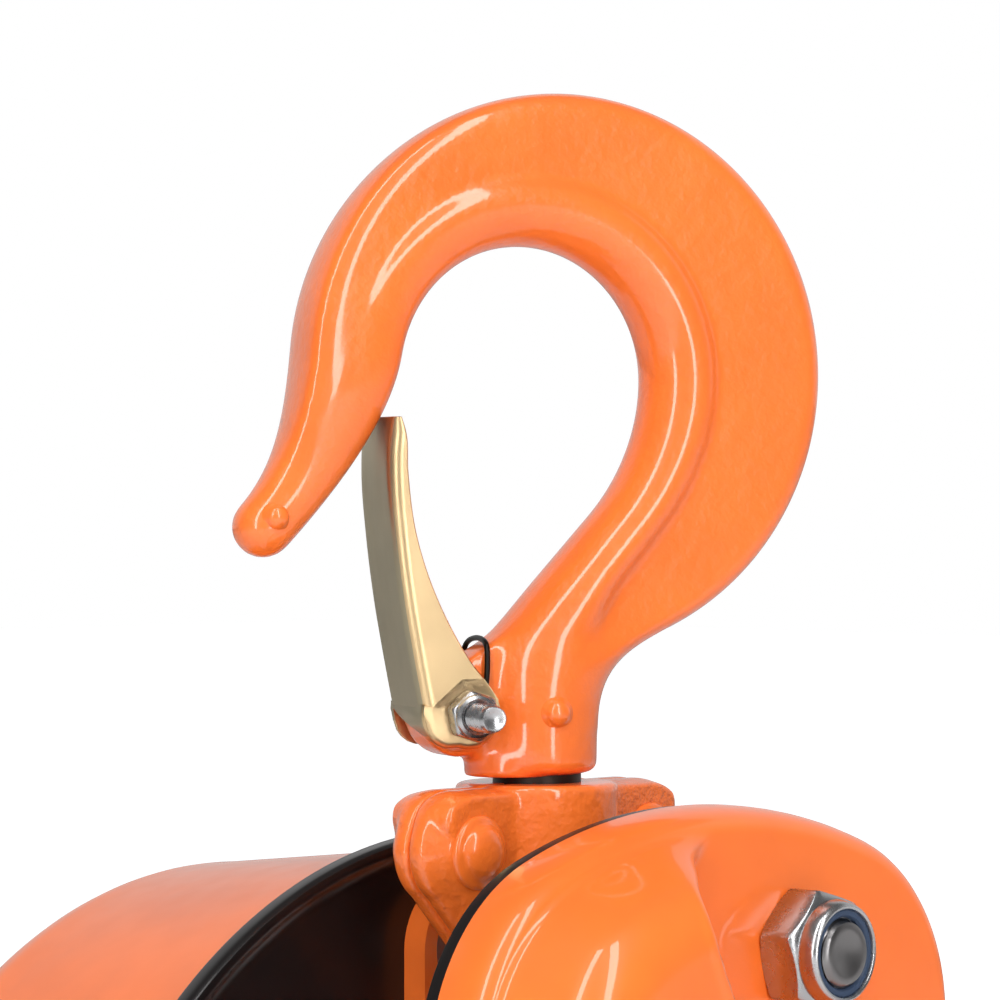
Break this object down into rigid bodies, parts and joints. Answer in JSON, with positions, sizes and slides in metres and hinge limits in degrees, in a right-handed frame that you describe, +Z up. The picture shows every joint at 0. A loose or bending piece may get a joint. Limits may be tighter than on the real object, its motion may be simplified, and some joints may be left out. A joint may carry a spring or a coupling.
{
  "type": "chain hoist with swivel top hook",
  "caption": "Upper part of a manual chain hoist: forged swivel hook with safety latch, split yoke, geared body and hand wheel housing, without chains.",
  "frame": {"origin": "swivel axis of the hook, at the load seat of the hook bowl", "axes": "+Z up along the swivel axis towards the crown of the hook; -Y towards the gear cover and +Y towards the hand wheel cover, along the main shaft; X across the suspension pin"},
  "size_m": [0.1908, 0.1515, 0.3272],
  "materials": {
    "orange_forged": "glossy sprayed enamel over a forging",
    "orange_sheet": "glossy sprayed enamel on pressed sheet",
    "gloss_black": "gloss black enamel",
    "yellow_zinc": "pale yellow zinc plating",
    "bright_zinc": "bright zinc plating",
    "plain_steel": "machined steel with a film of oil",
    "bronze": "sintered bronze",
    "brake_lining": "moulded friction lining"
  },
  "bodies": {
    "hook": {"top_hook": "orange_forged", "latch_bolt": "bright_zinc", "latch_nut": "bright_zinc", "latch_spring": "gloss_black"},
    "latch": {"latch": "yellow_zinc"},
    "yoke": {"yoke_front_half": "orange_forged", "yoke_rear_half": "orange_forged", "yoke_rivets": "orange_forged"},
    "frame": {"suspension_pin": "plain_steel", "pin_spacers": "plain_steel", "gear_side_plate": "orange_sheet", "wheel_side_plate": "orange_sheet", "stay_bolts": "plain_steel", "stay_nuts": "bright_zinc", "cover_studs": "plain_steel", "gear_case_plate": "gloss_black", "gear_cover": "orange_sheet", "gear_cover_nuts": "bright_zinc", "sheave_bearings": "plain_steel", "idler_bushes": "bronze", "friction_discs": "brake_lining", "ratchet_disc": "plain_steel", "pawl_pins": "plain_steel", "pawl_springs": "plain_steel", "wheel_case_plate": "gloss_black", "wheel_cover": "orange_sheet", "wheel_cover_screws": "bright_zinc", "chain_guides": "plain_steel", "chain_stripper": "plain_steel", "chain_anchor_pin": "plain_steel"},
    "drive": {"drive_shaft": "plain_steel", "brake_hub": "plain_steel", "hand_wheel": "gloss_black", "castle_nut": "bright_zinc", "split_pin": "plain_steel"},
    "sheave": {"load_sheave": "plain_steel", "load_gear": "plain_steel", "load_gear_ring": "plain_steel", "shaft_bushes": "bronze"},
    "idler_a": {"idler_gear_a": "plain_steel"},
    "idler_b": {"idler_gear_b": "plain_steel"},
    "pawl_a": {"pawl_a": "plain_steel"},
    "pawl_b": {"pawl_b": "plain_steel"}
  },
  "joints": [
    {"name": "latch_hinge", "type": "hinge", "parent": "hook", "child": "latch", "pos_m": [-0.01402, 0.00684, -0.0806], "axis": [0.4384, 0.8988, 0], "range_deg": [0, 34], "stiffness_Nm_per_rad": 0.2, "springref_deg": -28.65, "deforming": ["latch_spring"]},
    {"name": "hook_swivel", "type": "hinge", "parent": "hook", "child": "yoke", "pos_m": [0, 0, -0.1035], "axis": [0, 0, 1], "continuous": true},
    {"name": "body_swing", "type": "hinge", "parent": "yoke", "child": "frame", "pos_m": [0, 0, -0.1225], "axis": [0, 1, 0], "range_deg": [-12, 12]},
    {"name": "drive_spin", "type": "hinge", "parent": "frame", "child": "drive", "pos_m": [0, 0, -0.1975], "axis": [0, 1, 0], "continuous": true},
    {"name": "sheave_spin", "type": "hinge", "parent": "frame", "child": "sheave", "pos_m": [0, 0, -0.1975], "axis": [0, 1, 0], "continuous": true},
    {"name": "idler_a_spin", "type": "hinge", "parent": "frame", "child": "idler_a", "pos_m": [-0.0142, 0, -0.17107], "axis": [0, 1, 0], "continuous": true},
    {"name": "idler_b_spin", "type": "hinge", "parent": "frame", "child": "idler_b", "pos_m": [0.0142, 0, -0.22393], "axis": [0, 1, 0], "continuous": true},
    {"name": "pawl_a_hinge", "type": "hinge", "parent": "frame", "child": "pawl_a", "pos_m": [-0.03655, 0, -0.1764], "axis": [0, 1, 0], "range_deg": [0, 25], "stiffness_Nm_per_rad": 0.05, "springref_deg": -17.19},
    {"name": "pawl_b_hinge", "type": "hinge", "parent": "frame", "child": "pawl_b", "pos_m": [0.03655, 0, -0.2186], "axis": [0, 1, 0], "range_deg": [0, 25], "stiffness_Nm_per_rad": 0.05, "springref_deg": -17.19}
  ],
  "couplings": [
    {"joint": "sheave_spin", "follows": "drive_spin", "ratio": 0.069252},
    {"joint": "idler_a_spin", "follows": "drive_spin", "ratio": -0.26316},
    {"joint": "idler_b_spin", "follows": "drive_spin", "ratio": -0.26316}
  ]
}
